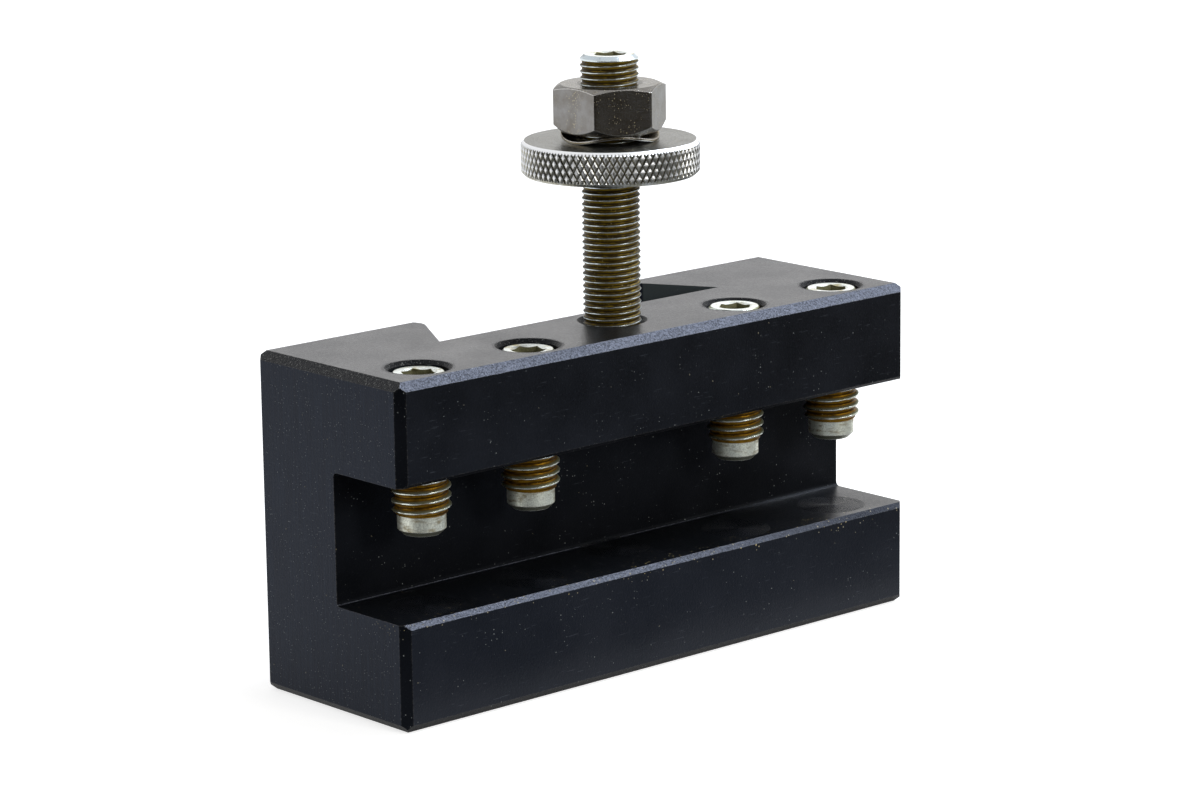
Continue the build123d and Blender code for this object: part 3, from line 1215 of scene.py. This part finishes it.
floor = flat_sheet("floor", -6, 6, -6, 6, 0.0)
pale = bpy.data.materials.new("pale_floor")
pale.use_nodes = True
tree = pale.node_tree
shader = tree.nodes["Principled BSDF"]
shader.inputs["Base Color"].default_value = (0.58, 0.58, 0.58, 1)
shader.inputs["Roughness"].default_value = 0.9
shader.inputs["Specular IOR Level"].default_value = 0.1
ray, seen = seen_rays(tree)
to_camera = times(tree, ray["Is Camera Ray"], FLOOR_LIFT_TO_CAMERA)
strength = calc(tree, "MULTIPLY_ADD", seen, FLOOR_LIFT, to_camera)
lift = add(tree, "ShaderNodeEmission", {"Strength": strength})
both = add(tree, "ShaderNodeAddShader", {0: shader.outputs[0], 1: lift})
tree.links.new(both, tree.nodes["Material Output"].inputs["Surface"])
floor.data.materials.append(pale)

# %% The backdrop
world = bpy.data.worlds.new("studio")
scene.world = world
world.use_nodes = True
tree = world.node_tree
ray, seen = seen_rays(tree)
strength = spread(tree, seen, 0.0, 1.0, WORLD_FILL, WORLD_SEEN)
tree.links.new(strength, tree.nodes["Background"].inputs["Strength"])
tree.nodes["Background"].inputs["Color"].default_value = (1, 1, 1, 1)


# %% Softboxes
def softbox(name, direction, distance, size, watts, colour):
    light = bpy.data.lights.new(name, "AREA")
    light.size = size
    light.energy = watts
    light.color = colour
    made = bpy.data.objects.new(name, light)
    scene.collection.objects.link(made)
    target = (cad_box[0] + cad_box[1]) / 2
    towards = Vector(direction).normalized()
    made.location = target + towards * distance
    made.rotation_mode = "QUATERNION"
    made.rotation_quaternion = towards.to_track_quat("Z", "Y")
    return made


softbox(
    "overhead_softbox",
    direction=(0.62, -0.25, 0.74),
    distance=1.0,
    size=0.5,
    watts=9.0,
    colour=(0.84, 0.91, 1.0),
)
softbox(
    "front_softbox",
    direction=(0.10, -0.95, 0.30),
    distance=1.0,
    size=0.25,
    watts=3.6,
    colour=(1.0, 0.98, 0.93),
)
softbox(
    "far_softbox",
    direction=(0.70, 0.66, 0.30),
    distance=1.2,
    size=0.6,
    watts=0.6,
    colour=(1.0, 0.97, 0.94),
)

# %% [markdown]
# Three dark cards stand in for the unlit room on the camera's side. One lies on the
# floor in front of the block, one stands behind the camera and one stands in front of
# the block. They show only in reflections, where they give the metal its depth.

# %% Dark cards
STANDING_AWAY, STANDING_TURN = 1.1, math.radians(42)
reflection_paint, tree, shader, place = new_material("painted_reflection_card", {"Roughness": 1.0})
out_front = add(tree, "ShaderNodeVectorMath", {0: place}, "Value", operation="LENGTH")
# Painted reflection: each card is pale blue near its own origin, which for the lying card
# is under the block, and dark brown further out.
fade = spread(tree, out_front, 60.0, 190.0)
reflected_colour = blend_colour(tree, fade, (0.36, 0.40, 0.48, 1), (0.030, 0.022, 0.009, 1))
drive(tree, shader, Base_Color=reflected_colour)
lying = flat_sheet("lying_card", -1.2, 1.2, -1.1, -0.030, 0.0006)
standing = flat_sheet("standing_card", -1.2, 1.2, 0.0, 1.3, 0.0)
outward = Vector((-math.sin(STANDING_TURN), -math.cos(STANDING_TURN), 0))
standing.location = outward * STANDING_AWAY
standing.rotation_euler = (math.pi / 2, 0, -STANDING_TURN)
front = flat_sheet("front_card", -0.75, 0.75, 0.0, 1.3, 0.0)
front.location = (0, -0.8, 0)
front.rotation_euler = (math.pi / 2, 0, 0)
for card in (lying, standing, front):
    card.data.materials.append(reflection_paint)
    card.visible_camera = False
    card.visible_shadow = False
    card.visible_diffuse = False
